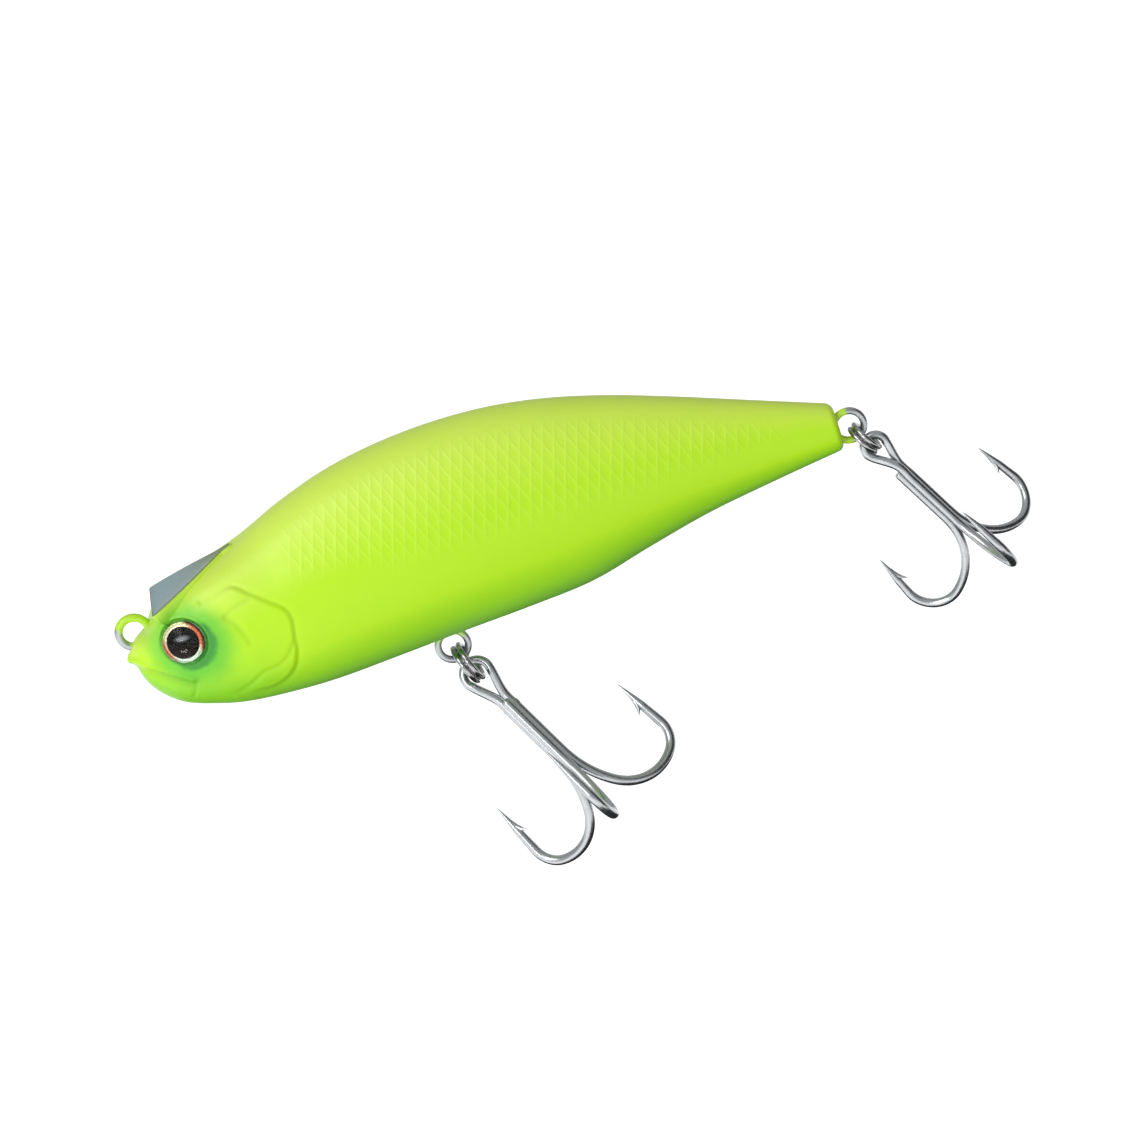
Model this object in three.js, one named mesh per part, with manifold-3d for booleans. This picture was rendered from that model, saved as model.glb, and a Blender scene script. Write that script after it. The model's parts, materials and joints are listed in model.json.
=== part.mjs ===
// A crankbait lure in millimetres: +X runs from nose to tail, +Z is the back, -Y is the fish's left side.
// Everything is laid out from the nose tip and then moved so that the line tie's centre is the origin.
import * as THREE from "three";
import { mergeVertices } from "three/addons/utils/BufferGeometryUtils.js";
import Module from "manifold-3d";

const wasm = await Module();
wasm.setup();
const { Manifold, Mesh } = wasm;

// Driving dimensions.
const BODY_LENGTH = 80;
const WALL = 1.3;
const EDGE_ROUND = 0.7;
const TIE = { x: 1.2, z: 2.4, anchorAngle: -45 };
const BELLY = { x: 33.3, z: -10.2, anchorAngle: 90 };
const TAIL = { x: 81.1, z: -0.1, anchorAngle: 180 };
const LOOP = { radius: 1.65, wire: 0.4 };
const ANCHOR = { radius: 1.3, wire: 0.4 };
const GROOVE_ROOM = 0.12;
const LIP = { x: 4.05, z: 4.5, slope: 20, length: 9.6, halfWidth: 4.7, thickness: 0.5 };
const FISH_EYE = { x: 6.3, y: -4.35, z: 1.2, turn: -14, lean: 7, socket: 2.7, foil: 2.3, pupil: 1.65 };
const TRACK = { start: [25.2, -1.5], slope: 6.2, ball: 2.2, travel: 28.5, inside: 2.45, wall: 0.85 };
const BALLAST = { x: 17.5, z: -5, radius: 2.4, halfLength: 3.5 };
const PINS = [[13.2, 4.2], [47, 9.3], [67, 2.4]];
const PIN_RADIUS = 0.7;
const BULKHEADS = [28, 41, 54];

// Body profile from the nose tip: distance, back, belly, widest height and half-width.
const STATIONS = [
  { x: 0, back: 0.3, belly: -0.9, middle: -0.3, half: 0.6 },
  { x: 1, back: 1.5, belly: -3.6, middle: -0.4, half: 2.2 },
  { x: 2.5, back: 2.4, belly: -5.6, middle: -0.5, half: 3.1 },
  { x: 4.3, back: 4.6, belly: -6.9, middle: -0.5, half: 4.1 },
  { x: 7, back: 5.8, belly: -7.9, middle: -0.3, half: 4.95 },
  { x: 10, back: 6.9, belly: -8.7, middle: 0, half: 5.6 },
  { x: 14, back: 8.4, belly: -9.2, middle: 0.5, half: 5.95 },
  { x: 20, back: 11.1, belly: -9.45, middle: 1.2, half: 6.4 },
  { x: 27, back: 13.3, belly: -9.15, middle: 2.1, half: 6.5 },
  { x: 35, back: 14.4, belly: -8.7, middle: 3.1, half: 6.4 },
  { x: 43, back: 14.4, belly: -8.35, middle: 3.1, half: 5.95 },
  { x: 50, back: 13.4, belly: -7.8, middle: 3, half: 5.3 },
  { x: 57, back: 11.5, belly: -6.1, middle: 2.6, half: 4.5 },
  { x: 64, back: 9, belly: -4.55, middle: 2.1, half: 3.6 },
  { x: 72, back: 5.9, belly: -3.4, middle: 1.3, half: 2.6 },
  { x: 80, back: 2.8, belly: -2.4, middle: 0.4, half: 1.8 },
];

// Split rings: a loop, the direction they hang in, and their size.
const BELLY_RING = { at: BELLY, angle: -69, slack: 0.45, radius: 2.17, wire: 0.33 };
const TAIL_RING = { at: TAIL, angle: -57, slack: 0.5, radius: 1.8, wire: 0.3 };

// Treble hooks: the shank's angle below +X, its lean to -Y and its roll, then the bends of one point.
const BELLY_TREBLE = {
  ring: BELLY_RING, angle: -60, lean: 20, roll: 7, wire: 0.48, eye: 1.575, eyeDrop: 0.45, neck: 3.6,
  straight: 12.4, bends: [[11.2, 34], [5.7, 81], [3, 69]], leg: 2.6, point: 3.6, single: -90, pair: [150, 30],
};
const TAIL_TREBLE = {
  ring: TAIL_RING, angle: -60.5, lean: 7, roll: 14, wire: 0.43, eye: 1.28, eyeDrop: 0.25, neck: 3.2,
  straight: 11.1, bends: [[7.2, 75], [3.25, 90], [3, 21]], leg: 1.9, point: 3.1, single: 150, pair: [-90, 30],
};

const radians = THREE.MathUtils.degToRad;
const X = new THREE.Vector3(1, 0, 0);
const Y = new THREE.Vector3(0, 1, 0);

// A closed solid from a three.js geometry.
function solid(geometry) {
  const plain = new THREE.BufferGeometry();
  plain.setAttribute("position", geometry.getAttribute("position").clone());
  plain.setIndex(geometry.index);
  const merged = mergeVertices(plain, 1e-4);
  const triVerts = new Uint32Array(merged.index.array);
  return new Manifold(new Mesh({ numProp: 3, vertProperties: merged.attributes.position.array, triVerts }));
}

function union(solids) {
  return Manifold.union(solids);
}

// A smooth curve through the stations' values of one key.
function profile(key, x) {
  const last = STATIONS.length - 1;
  let i = 0;
  while (i < last - 1 && STATIONS[i + 1].x < x) i += 1;
  const slopeAt = (k) => {
    const a = STATIONS[Math.max(0, k - 1)];
    const b = STATIONS[Math.min(last, k + 1)];
    return (b[key] - a[key]) / (b.x - a.x);
  };
  const from = STATIONS[i];
  const to = STATIONS[i + 1];
  const width = to.x - from.x;
  const t = (x - from.x) / width;
  const t2 = t * t;
  const t3 = t2 * t;
  return (
    (2 * t3 - 3 * t2 + 1) * from[key] +
    (t3 - 2 * t2 + t) * width * slopeAt(i) +
    (3 * t2 - 2 * t3) * to[key] +
    (t3 - t2) * width * slopeAt(i + 1)
  );
}

// The body's cross-section at x, pulled in by inset, as a ring of points. The head's top is squarer.
function section(x, inset, count) {
  const over = Math.max(0, x - (BODY_LENGTH - EDGE_ROUND)) / EDGE_ROUND;
  const shrink = inset + EDGE_ROUND * (1 - Math.sqrt(Math.max(0, 1 - over * over)));
  const half = profile("half", x) - shrink;
  const middle = profile("middle", x);
  const up = profile("back", x) - shrink - middle;
  const down = middle - profile("belly", x) - shrink;
  const square = 2.15 + 1.6 * THREE.MathUtils.smoothstep(18 - x, 0, 10) * THREE.MathUtils.smoothstep(x, 1, 4);
  return Array.from({ length: count }, (_, j) => {
    const angle = (2 * Math.PI * j) / count;
    const c = Math.cos(angle);
    const s = Math.sin(angle);
    const power = 2 / (s > 0 ? square : 2.2);
    const y = Math.abs(c) < 1e-9 ? 0 : half * Math.sign(c) * Math.abs(c) ** power;
    const z = Math.abs(s) < 1e-9 ? 0 : (s > 0 ? up : down) * Math.sign(s) * Math.abs(s) ** power;
    return new THREE.Vector3(x, y, middle + z);
  });
}

// A closed skin over rings of points, with a fan on each end.
function skin(rings) {
  const count = rings[0].length;
  const points = rings.flat();
  const index = [];
  for (let i = 0; i < rings.length - 1; i += 1) {
    for (let j = 0; j < count; j += 1) {
      const a = i * count + j;
      const b = i * count + ((j + 1) % count);
      index.push(a, b, a + count, b, b + count, a + count);
    }
  }
  const ends = [0, rings.length - 1];
  for (const end of ends) {
    const centre = new THREE.Vector3();
    rings[end].forEach((p) => centre.addScaledVector(p, 1 / count));
    points.push(centre);
    const tip = points.length - 1;
    for (let j = 0; j < count; j += 1) {
      const a = end * count + j;
      const b = end * count + ((j + 1) % count);
      index.push(...(end === 0 ? [tip, b, a] : [tip, a, b]));
    }
  }
  const geometry = new THREE.BufferGeometry().setFromPoints(points);
  geometry.setIndex(index);
  return solid(geometry);
}

function bodySolid(from, to, inset, steps, count, power) {
  const rings = [];
  for (let i = 0; i <= steps; i += 1) rings.push(section(from + (to - from) * (i / steps) ** power, inset, count));
  return skin(rings);
}

// A cylinder whose axis is along Y, between two values of y.
function crossPin(x, z, radius, y0, y1, sides = 20) {
  const geometry = new THREE.CylinderGeometry(radius, radius, y1 - y0, sides);
  geometry.translate(x, (y0 + y1) / 2, z);
  return solid(geometry);
}

function box(x0, x1, y0, y1, z0, z1) {
  const geometry = new THREE.BoxGeometry(x1 - x0, y1 - y0, z1 - z0);
  geometry.translate((x0 + x1) / 2, (y0 + y1) / 2, (z0 + z1) / 2);
  return solid(geometry);
}

// A ring of wire standing in the XZ plane.
function uprightRing(x, z, radius, wire, around = 24, sides = 8) {
  const geometry = new THREE.TorusGeometry(radius, wire, sides, around);
  geometry.rotateX(Math.PI / 2);
  geometry.translate(x, 0, z);
  return solid(geometry);
}

// A figure-eight eyelet: an outer loop for the ring and an anchor loop inside the body.
function eyelet(at, room) {
  const reach = LOOP.radius + ANCHOR.radius - 0.1;
  const angle = radians(at.anchorAngle);
  const x = at.x + reach * Math.cos(angle);
  const z = at.z + reach * Math.sin(angle);
  return union([
    uprightRing(at.x, at.z, LOOP.radius, LOOP.wire + room),
    uprightRing(x, z, ANCHOR.radius, ANCHOR.wire + room, 18),
  ]);
}

// Wire of one thickness along a line of points, closed at both ends.
function wire(points, radius, steps, sides) {
  const circle = new THREE.Shape();
  circle.absarc(0, 0, radius, 0, 2 * Math.PI, false);
  const path = new THREE.CatmullRomCurve3(points, false, "centripetal");
  return solid(new THREE.ExtrudeGeometry(circle, { steps, curveSegments: sides / 2, extrudePath: path }));
}

// A cone from base towards tip.
function cone(base, tip, radius, tipRadius, sides) {
  const direction = tip.clone().sub(base);
  const geometry = new THREE.CylinderGeometry(tipRadius, radius, direction.length(), sides);
  geometry.translate(0, direction.length() / 2, 0);
  geometry.applyQuaternion(new THREE.Quaternion().setFromUnitVectors(Y, direction.normalize()));
  geometry.translate(base.x, base.y, base.z);
  return solid(geometry);
}

// The direction in the XZ plane at an angle from +X.
function heading(degrees) {
  return new THREE.Vector3(Math.cos(radians(degrees)), 0, Math.sin(radians(degrees)));
}

// Where the ring's wire crosses the XZ plane inside the hook's eye.
function ringFoot(ring) {
  const foot = new THREE.Vector3(ring.at.x, 0, ring.at.z);
  return foot.addScaledVector(heading(ring.angle), ring.slack + 2 * ring.radius);
}

// A split ring: two flat coils joined by a short crossover on the far side.
function splitRing(ring) {
  const down = heading(ring.angle);
  const normal = down.clone().cross(Y);
  const centre = new THREE.Vector3(ring.at.x, 0, ring.at.z).addScaledVector(down, ring.slack + ring.radius);
  const level = ring.wire * 1.07;
  const crossover = radians(50);
  const start = Math.PI / 2 + crossover / 2;
  const sweep = 4 * Math.PI - crossover;
  const count = 72;
  const points = Array.from({ length: count + 1 }, (_, i) => {
    const turn = (sweep * i) / count;
    const climb = THREE.MathUtils.smoothstep(turn, 2 * Math.PI - crossover, 2 * Math.PI);
    return centre
      .clone()
      .addScaledVector(down, ring.radius * Math.cos(start + turn))
      .addScaledVector(Y, ring.radius * Math.sin(start + turn))
      .addScaledVector(normal, level * (2 * climb - 1));
  });
  return wire(points, ring.wire, 64, 8);
}

// The centreline of one point of a treble as [distance from the axis, distance below the eye].
function pointLine(hook) {
  const line = [[(hook.wire + 0.03) * 1.155, hook.straight]];
  let angle = 0;
  let [out, along] = line[0];
  for (const [radius, turn] of hook.bends) {
    const steps = Math.max(2, Math.round(turn / 9));
    for (let i = 0; i < steps; i += 1) {
      const next = angle + radians(turn) / steps;
      out += radius * (Math.cos(angle) - Math.cos(next));
      along += radius * (Math.sin(next) - Math.sin(angle));
      angle = next;
      line.push([out, along]);
    }
  }
  line.push([out + Math.sin(angle) * hook.leg, along + Math.cos(angle) * hook.leg]);
  return { line, inward: angle };
}

// A treble hook: the pair is one wire bent round the eye, and the single point is brazed beside it.
function treble(hook) {
  const lean = radians(hook.lean);
  const down = heading(hook.angle).multiplyScalar(Math.cos(lean)).addScaledVector(Y, -Math.sin(lean));
  const side = heading(hook.angle + 90);
  const back = side.clone().cross(down).normalize();
  const eye = ringFoot(hook.ring).addScaledVector(down, -hook.eyeDrop);
  const shank = (hook.wire + 0.03) * 1.155;
  const at = (a, b, along) =>
    eye.clone().addScaledVector(side, a).addScaledVector(back, b).addScaledVector(down, along);
  const { line, inward } = pointLine(hook);
  const place = (azimuth, out, along) => {
    const angle = radians(azimuth + hook.roll);
    return at(out * Math.cos(angle), out * Math.sin(angle), along);
  };
  const leg = (azimuth) => line.map(([out, along]) => place(azimuth, out, along));
  const point = (azimuth) => {
    const [out, along] = line[line.length - 1];
    const step = (length) => [out + Math.sin(inward) * length, along + Math.cos(inward) * length];
    const tip = cone(place(azimuth, ...step(-0.2)), place(azimuth, ...step(hook.point)), hook.wire, 0.04, 10);
    const root = place(azimuth, ...step(0.3));
    const barbTip = place(azimuth, out - 2 * hook.wire, along + 0.4);
    return [tip, cone(root, barbTip, 0.6 * hook.wire, 0.05, 6)];
  };
  const [first, second] = hook.pair;
  const opening = radians(25);
  const arc = Array.from({ length: 9 }, (_, i) => {
    const angle = -opening + ((Math.PI + 2 * opening) * i) / 8;
    return at(-hook.eye * Math.cos(angle), 0, -hook.eye * Math.sin(angle));
  });
  const loop = [
    ...leg(first).reverse(),
    place(first, shank, hook.neck + 2),
    place(first, shank, hook.neck),
    ...arc,
    place(second, shank, hook.neck),
    place(second, shank, hook.neck + 2),
    ...leg(second),
  ];
  const single = [place(hook.single, shank, hook.neck + 0.7), place(hook.single, shank, hook.neck + 3)];
  return {
    double: union([wire(loop, hook.wire, 110, 8), ...point(first), ...point(second)]),
    single: union([wire([...single, ...leg(hook.single)], hook.wire, 44, 8), ...point(hook.single)]),
  };
}

// The lip's outline in its own plane, from the front edge back to the rounded tip.
function lipSolid(room, height) {
  const half = LIP.halfWidth + room;
  const tail = LIP.length + room;
  const outline = new THREE.Shape();
  outline.moveTo(-room, -half + 0.4);
  outline.quadraticCurveTo(-room, -half, 0.35, -half);
  outline.quadraticCurveTo(3.6, -half * 0.825, tail, -0.55 - room);
  outline.quadraticCurveTo(tail + 2.3, 0, tail, 0.55 + room);
  outline.quadraticCurveTo(3.6, half * 0.825, 0.35, half);
  outline.quadraticCurveTo(-room, half, -room, half - 0.4);
  outline.closePath();
  const geometry = new THREE.ExtrudeGeometry(outline, { depth: height, bevelEnabled: false, curveSegments: 7 });
  geometry.rotateY(-radians(LIP.slope));
  geometry.translate(LIP.x, 0, LIP.z);
  return solid(geometry);
}

// A turned piece of one eye on the left side. The profile is [radius, distance outwards] in the socket.
function eyePiece(outline, segments = 28) {
  const geometry = new THREE.LatheGeometry(outline.map(([r, h]) => new THREE.Vector2(r, h)), segments);
  geometry.rotateZ(Math.PI);
  geometry.rotateX(radians(-FISH_EYE.lean));
  geometry.rotateZ(radians(FISH_EYE.turn));
  geometry.translate(FISH_EYE.x, FISH_EYE.y, FISH_EYE.z);
  return solid(geometry);
}

function mirrored(piece) {
  return piece.mirror([0, 1, 0]);
}

// Body shells.
const outer = bodySolid(0, BODY_LENGTH, 0, 44, 36, 1.5);
const cavity = bodySolid(11, 72, WALL, 16, 20, 1);
const slope = radians(TRACK.slope);
const trackLength = TRACK.travel + 4 * TRACK.ball + 0.6;

function trackBox(half, extra) {
  const geometry = new THREE.BoxGeometry(trackLength + 2 * extra, 2 * half, 2 * half);
  geometry.translate(trackLength / 2 - TRACK.ball - 0.3, 0, 0);
  geometry.rotateY(-slope);
  geometry.translate(TRACK.start[0], 0, TRACK.start[1]);
  return solid(geometry);
}

const bosses = union([
  trackBox(TRACK.inside + TRACK.wall, TRACK.wall),
  crossPin(BALLAST.x, BALLAST.z, BALLAST.radius + 0.85, -8, 8, 24),
  crossPin(BELLY.x, BELLY.z + 2.9, 2.4, -8, 8),
  ...PINS.map(([x, z]) => crossPin(x, z, 1.7, -8, 8, 14)),
  ...BULKHEADS.map((x) => box(x - 0.5, x + 0.5, -8, 8, -12, 16)),
]).intersect(outer);
const socket = eyePiece([[0, 0], [FISH_EYE.socket, 0], [FISH_EYE.socket + 0.1, 4], [0, 4]]);
const shell = outer
  .subtract(cavity)
  .add(bosses)
  .subtract(trackBox(TRACK.inside, 0))
  .subtract(crossPin(BALLAST.x, BALLAST.z, BALLAST.radius + 0.15, -3.65, 3.65, 24))
  .subtract(union([TIE, BELLY, TAIL].map((at) => eyelet(at, GROOVE_ROOM))))
  .subtract(lipSolid(0.12, 4))
  .subtract(socket)
  .subtract(mirrored(socket));
const registerPins = union(PINS.map(([x, z]) => crossPin(x, z, PIN_RADIUS, -1.5, 0.6, 12)));
const registerHoles = union(PINS.map(([x, z]) => crossPin(x, z, PIN_RADIUS + 0.15, -1.8, 0.6, 12)));
const leftShell = shell.trimByPlane([0, -1, 0], 0).subtract(registerHoles);
const rightShell = shell.trimByPlane([0, 1, 0], 0).add(registerPins);

// Eyes: a foil ring, a pupil inside it and a clear dome over both.
const DOME_RADIUS = 3.2;
const domeBase = FISH_EYE.foil + 0.15;
const domeSweep = Math.asin(domeBase / DOME_RADIUS);
const domeTop = 0.55 + DOME_RADIUS * (1 - Math.cos(domeSweep));
const domeCurve = Array.from({ length: 6 }, (_, i) => {
  const angle = (domeSweep * (5 - i)) / 5;
  return [i === 5 ? 0 : DOME_RADIUS * Math.sin(angle), domeTop - DOME_RADIUS * (1 - Math.cos(angle))];
});
const foil = eyePiece([
  [FISH_EYE.pupil + 0.05, 0.1],
  [FISH_EYE.foil, 0.1],
  [FISH_EYE.foil, 0.4],
  [FISH_EYE.pupil + 0.05, 0.4],
  [FISH_EYE.pupil + 0.05, 0.1],
]);
const pupil = eyePiece([[0, 0.1], [FISH_EYE.pupil, 0.1], [FISH_EYE.pupil, 0.4], [0, 0.4]]);
const dome = eyePiece([[0, 0.45], [domeBase, 0.45], ...domeCurve]);

// Transfer weights: two balls that touch and roll together.
function ball(place) {
  const geometry = new THREE.IcosahedronGeometry(TRACK.ball, 3);
  geometry.translate(
    TRACK.start[0] + place * Math.cos(slope),
    0,
    TRACK.start[1] + place * Math.sin(slope),
  );
  return solid(geometry);
}

const belly = treble(BELLY_TREBLE);
const tail = treble(TAIL_TREBLE);

const paint = { color: "#b8e41e", roughness: 0.35, metalness: 0 };
const steel = { color: "#c9ccce", roughness: 0.22, metalness: 1 };
const tin = { color: "#c2c6c8", roughness: 0.3, metalness: 1 };
const painted = { color: "#b0dc22", roughness: 0.4, metalness: 0.1 };

const pieces = [
  ["left_body_shell", leftShell, paint],
  ["right_body_shell", rightShell, paint],
  ["lip_plate", lipSolid(0, LIP.thickness).translate([0, 0, 0.06]), { color: "#9aafa0", roughness: 0.3, metalness: 0.8 }],
  ["line_tie_eyelet", eyelet(TIE, 0), painted],
  ["belly_hanger_eyelet", eyelet(BELLY, 0), steel],
  ["tail_hanger_eyelet", eyelet(TAIL, 0), painted],
  ["left_eye_foil", foil, { color: "#e6dfae", roughness: 0.25, metalness: 0.9 }],
  ["right_eye_foil", mirrored(foil), { color: "#e6dfae", roughness: 0.25, metalness: 0.9 }],
  ["left_eye_pupil", pupil, { color: "#101010", roughness: 0.3, metalness: 0 }],
  ["right_eye_pupil", mirrored(pupil), { color: "#101010", roughness: 0.3, metalness: 0 }],
  ["left_eye_dome", dome, { color: "#f4f6f4", roughness: 0.05, metalness: 0, transparent: true, opacity: 0.35 }],
  ["right_eye_dome", mirrored(dome), { color: "#f4f6f4", roughness: 0.05, metalness: 0, transparent: true, opacity: 0.35 }],
  ["belly_ballast_weight", crossPin(BALLAST.x, BALLAST.z, BALLAST.radius, -BALLAST.halfLength, BALLAST.halfLength, 24),
    { color: "#6f7276", roughness: 0.6, metalness: 0.8 }],
  ["transfer_weight_front", ball(0), { color: "#b9bcc0", roughness: 0.2, metalness: 1 }],
  ["transfer_weight_rear", ball(2 * TRACK.ball + 0.05), { color: "#b9bcc0", roughness: 0.2, metalness: 1 }],
  ["belly_split_ring", splitRing(BELLY_RING), steel],
  ["tail_split_ring", splitRing(TAIL_RING), steel],
  ["belly_double_hook", belly.double, tin],
  ["belly_single_hook", belly.single, tin],
  ["tail_double_hook", tail.double, tin],
  ["tail_single_hook", tail.single, tin],
];

const group = new THREE.Group();
group.name = "crankbait_lure";
for (const [name, piece, look] of pieces) {
  const moved = piece.translate([-TIE.x, 0, -TIE.z]).getMesh();
  const geometry = new THREE.BufferGeometry();
  geometry.setAttribute("position", new THREE.BufferAttribute(new Float32Array(moved.vertProperties), 3));
  geometry.setIndex(new THREE.BufferAttribute(new Uint32Array(moved.triVerts), 1));
  geometry.computeVertexNormals();
  const mesh = new THREE.Mesh(geometry, new THREE.MeshStandardMaterial(look));
  mesh.name = name;
  group.add(mesh);
}

export default group;
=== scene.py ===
"""A crankbait lure: a moulded minnow-shaped body with a metal lip, two split rings and two treble hooks.

Shapes are laid out in millimetres from the nose tip, as in part.mjs: +X runs to the tail, +Z is the back,
and -Y is the fish's left side. place() moves them to the frame, whose origin is the line tie's centre.
"""

import math

import bpy
import numpy as np
from mathutils import Matrix, Vector
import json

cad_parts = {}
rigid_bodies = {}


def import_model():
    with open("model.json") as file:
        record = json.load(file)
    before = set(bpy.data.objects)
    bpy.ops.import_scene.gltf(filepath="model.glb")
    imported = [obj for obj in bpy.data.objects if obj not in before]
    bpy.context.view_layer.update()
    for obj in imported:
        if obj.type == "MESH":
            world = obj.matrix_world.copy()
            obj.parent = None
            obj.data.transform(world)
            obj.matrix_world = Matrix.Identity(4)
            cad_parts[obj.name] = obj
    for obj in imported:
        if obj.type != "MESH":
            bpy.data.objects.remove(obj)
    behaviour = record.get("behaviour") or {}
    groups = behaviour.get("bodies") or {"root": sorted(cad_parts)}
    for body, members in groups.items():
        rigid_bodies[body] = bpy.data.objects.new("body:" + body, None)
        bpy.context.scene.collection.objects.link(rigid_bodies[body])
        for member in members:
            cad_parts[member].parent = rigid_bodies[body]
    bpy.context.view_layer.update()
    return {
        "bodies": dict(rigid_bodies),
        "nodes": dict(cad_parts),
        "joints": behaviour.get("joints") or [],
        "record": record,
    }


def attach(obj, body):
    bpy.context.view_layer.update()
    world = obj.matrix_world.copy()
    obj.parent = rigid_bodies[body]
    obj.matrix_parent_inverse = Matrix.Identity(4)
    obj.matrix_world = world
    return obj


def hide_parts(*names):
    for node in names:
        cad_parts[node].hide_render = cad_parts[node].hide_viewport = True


MM = 0.001

# Driving dimensions.
BODY_LENGTH = 80.0
EDGE_ROUND = 0.7
TIE = {"x": 1.2, "z": 2.4, "anchor_angle": -45}
BELLY = {"x": 33.3, "z": -10.2, "anchor_angle": 90}
TAIL = {"x": 81.1, "z": -0.1, "anchor_angle": 180}
LOOP = {"radius": 1.65, "wire": 0.4}
ANCHOR = {"radius": 1.3, "wire": 0.4}
LIP = {"x": 4.05, "z": 4.5, "slope": 20, "length": 9.6, "half": 4.7, "thickness": 0.5, "lift": 0.06}
FISH_EYE = {
    "x": 6.3, "y": -4.35, "z": 1.2, "turn": -14, "lean": 7,
    "socket": 2.6, "foil": 2.16, "pupil": 1.68, "dome": 2.45, "dome_curve": 3.2,
}

# The camera's angles from a side view, its distance, the width it frames and the point it faces.
VIEW_TILT = 20.0
VIEW_ROLL = 17.824
VIEW_DISTANCE = 0.6
VIEW_WIDTH = 0.1223
VIEW_TARGET = (47.6, 0, -5.66)

# Body profile from the nose tip: distance, back, belly, widest height and half-width.
STATIONS = np.array([
    (0, 0.3, -0.9, -0.3, 0.6),
    (1, 1.5, -3.6, -0.4, 2.2),
    (2.5, 2.4, -5.6, -0.5, 3.1),
    (4.3, 4.6, -6.9, -0.5, 4.1),
    (7, 5.8, -7.9, -0.3, 4.95),
    (10, 6.9, -8.7, 0, 5.6),
    (14, 8.4, -9.2, 0.5, 5.95),
    (20, 11.1, -9.45, 1.2, 6.4),
    (27, 13.3, -9.15, 2.1, 6.5),
    (35, 14.4, -8.7, 3.1, 6.4),
    (43, 14.4, -8.35, 3.1, 5.95),
    (50, 13.4, -7.8, 3, 5.3),
    (57, 11.5, -6.1, 2.6, 4.5),
    (64, 9, -4.55, 2.1, 3.6),
    (72, 5.9, -3.4, 1.3, 2.6),
    (80, 2.8, -2.4, 0.4, 1.8),
])
BACK, BELLY_LINE, MIDDLE, HALF = 1, 2, 3, 4

# Split rings: a loop, the direction they hang in, and their size.
BELLY_RING = {"at": BELLY, "angle": -69, "slack": 0.45, "radius": 2.17, "wire": 0.33}
TAIL_RING = {"at": TAIL, "angle": -57, "slack": 0.5, "radius": 1.8, "wire": 0.3}

# Treble hooks: the shank's angle below +X, its lean to -Y and its roll, then the bends of one point.
BELLY_TREBLE = {
    "ring": BELLY_RING, "angle": -60, "lean": 20, "roll": 7, "wire": 0.48, "eye": 1.575, "eye_drop": 0.45,
    "neck": 3.6, "straight": 12.4, "bends": [(11.2, 34), (5.7, 81), (3, 69)], "leg": 2.6, "point": 3.6,
    "single": -90, "pair": (150, 30),
}
TAIL_TREBLE = {
    "ring": TAIL_RING, "angle": -60.5, "lean": 7, "roll": 14, "wire": 0.43, "eye": 1.28, "eye_drop": 0.25,
    "neck": 3.2, "straight": 11.1, "bends": [(7.2, 75), (3.25, 90), (3, 21)], "leg": 1.9, "point": 3.1,
    "single": 150, "pair": (-90, 30),
}

# How much fuller the hooks' wire is round the bends.
BEND_SWELL = 0.16

# Fineness of the visible meshes.
HEAD_RINGS = 165
FLANK_RINGS = 335
HEAD_END = 19.0
QUARTER = 95
WIRE_STEP = 0.14

# The visible lip's edge rounding and the depth of its dish.
LIP_EDGE_ROUND = 0.13
LIP_DISH = 0.1


# ---- small maths

def place(points):
    """Millimetres from the nose tip to metres in the row frame."""
    return (np.asarray(points, float) - (TIE["x"], 0, TIE["z"])) * MM


def smoothstep(value, low, high):
    t = np.clip((np.asarray(value, float) - low) / (high - low), 0, 1)
    return t * t * (3 - 2 * t)


def unit(vector):
    return vector / np.linalg.norm(vector, axis=-1, keepdims=True)


def heading(degrees):
    """The direction in the XZ plane at an angle from +X."""
    angle = math.radians(degrees)
    return np.array((math.cos(angle), 0, math.sin(angle)))


def profile(column, x):
    """A smooth curve through one column of the stations."""
    xs, values = STATIONS[:, 0], STATIONS[:, column]
    slopes = np.empty(len(xs))
    slopes[1:-1] = (values[2:] - values[:-2]) / (xs[2:] - xs[:-2])
    slopes[0] = (values[1] - values[0]) / (xs[1] - xs[0])
    slopes[-1] = (values[-1] - values[-2]) / (xs[-1] - xs[-2])
    x = np.asarray(x, float)
    i = np.clip(np.searchsorted(xs, x, side="right") - 1, 0, len(xs) - 2)
    width = xs[i + 1] - xs[i]
    t = (x - xs[i]) / width
    t2, t3 = t * t, t * t * t
    return (
        (2 * t3 - 3 * t2 + 1) * values[i]
        + (t3 - 2 * t2 + t) * width * slopes[i]
        + (3 * t2 - 2 * t3) * values[i + 1]
        + (t3 - t2) * width * slopes[i + 1]
    )


def smooth_path(points, spacing):
    """A centripetal Catmull-Rom curve through points, sampled evenly by length."""
    p = np.asarray(points, float)
    p = np.vstack([2 * p[0] - p[1], p, 2 * p[-1] - p[-2]])
    t = np.linspace(0, 1, 24, endpoint=False)[:, None]
    found = []
    for a, b, c, d in zip(p[:-3], p[1:-2], p[2:-1], p[3:]):
        before, width, after = (math.sqrt(np.linalg.norm(v)) for v in (b - a, c - b, d - c))
        m1 = ((b - a) / before - (c - a) / (before + width) + (c - b) / width) * width
        m2 = ((c - b) / width - (d - b) / (width + after) + (d - c) / after) * width
        t2, t3 = t * t, t * t * t
        start, end = (2 * t3 - 3 * t2 + 1) * b, (3 * t2 - 2 * t3) * c
        found.append(start + (t3 - 2 * t2 + t) * m1 + end + (t3 - t2) * m2)
    return even_path(np.vstack([*found, p[-2]]), spacing)


def even_path(points, spacing):
    """The same line with points an even distance apart."""
    along = np.concatenate([[0], np.cumsum(np.linalg.norm(np.diff(points, axis=0), axis=1))])
    wanted = np.linspace(0, along[-1], max(3, int(round(along[-1] / spacing)) + 1))
    return np.stack([np.interp(wanted, along, points[:, k]) for k in range(3)], axis=1)


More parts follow.
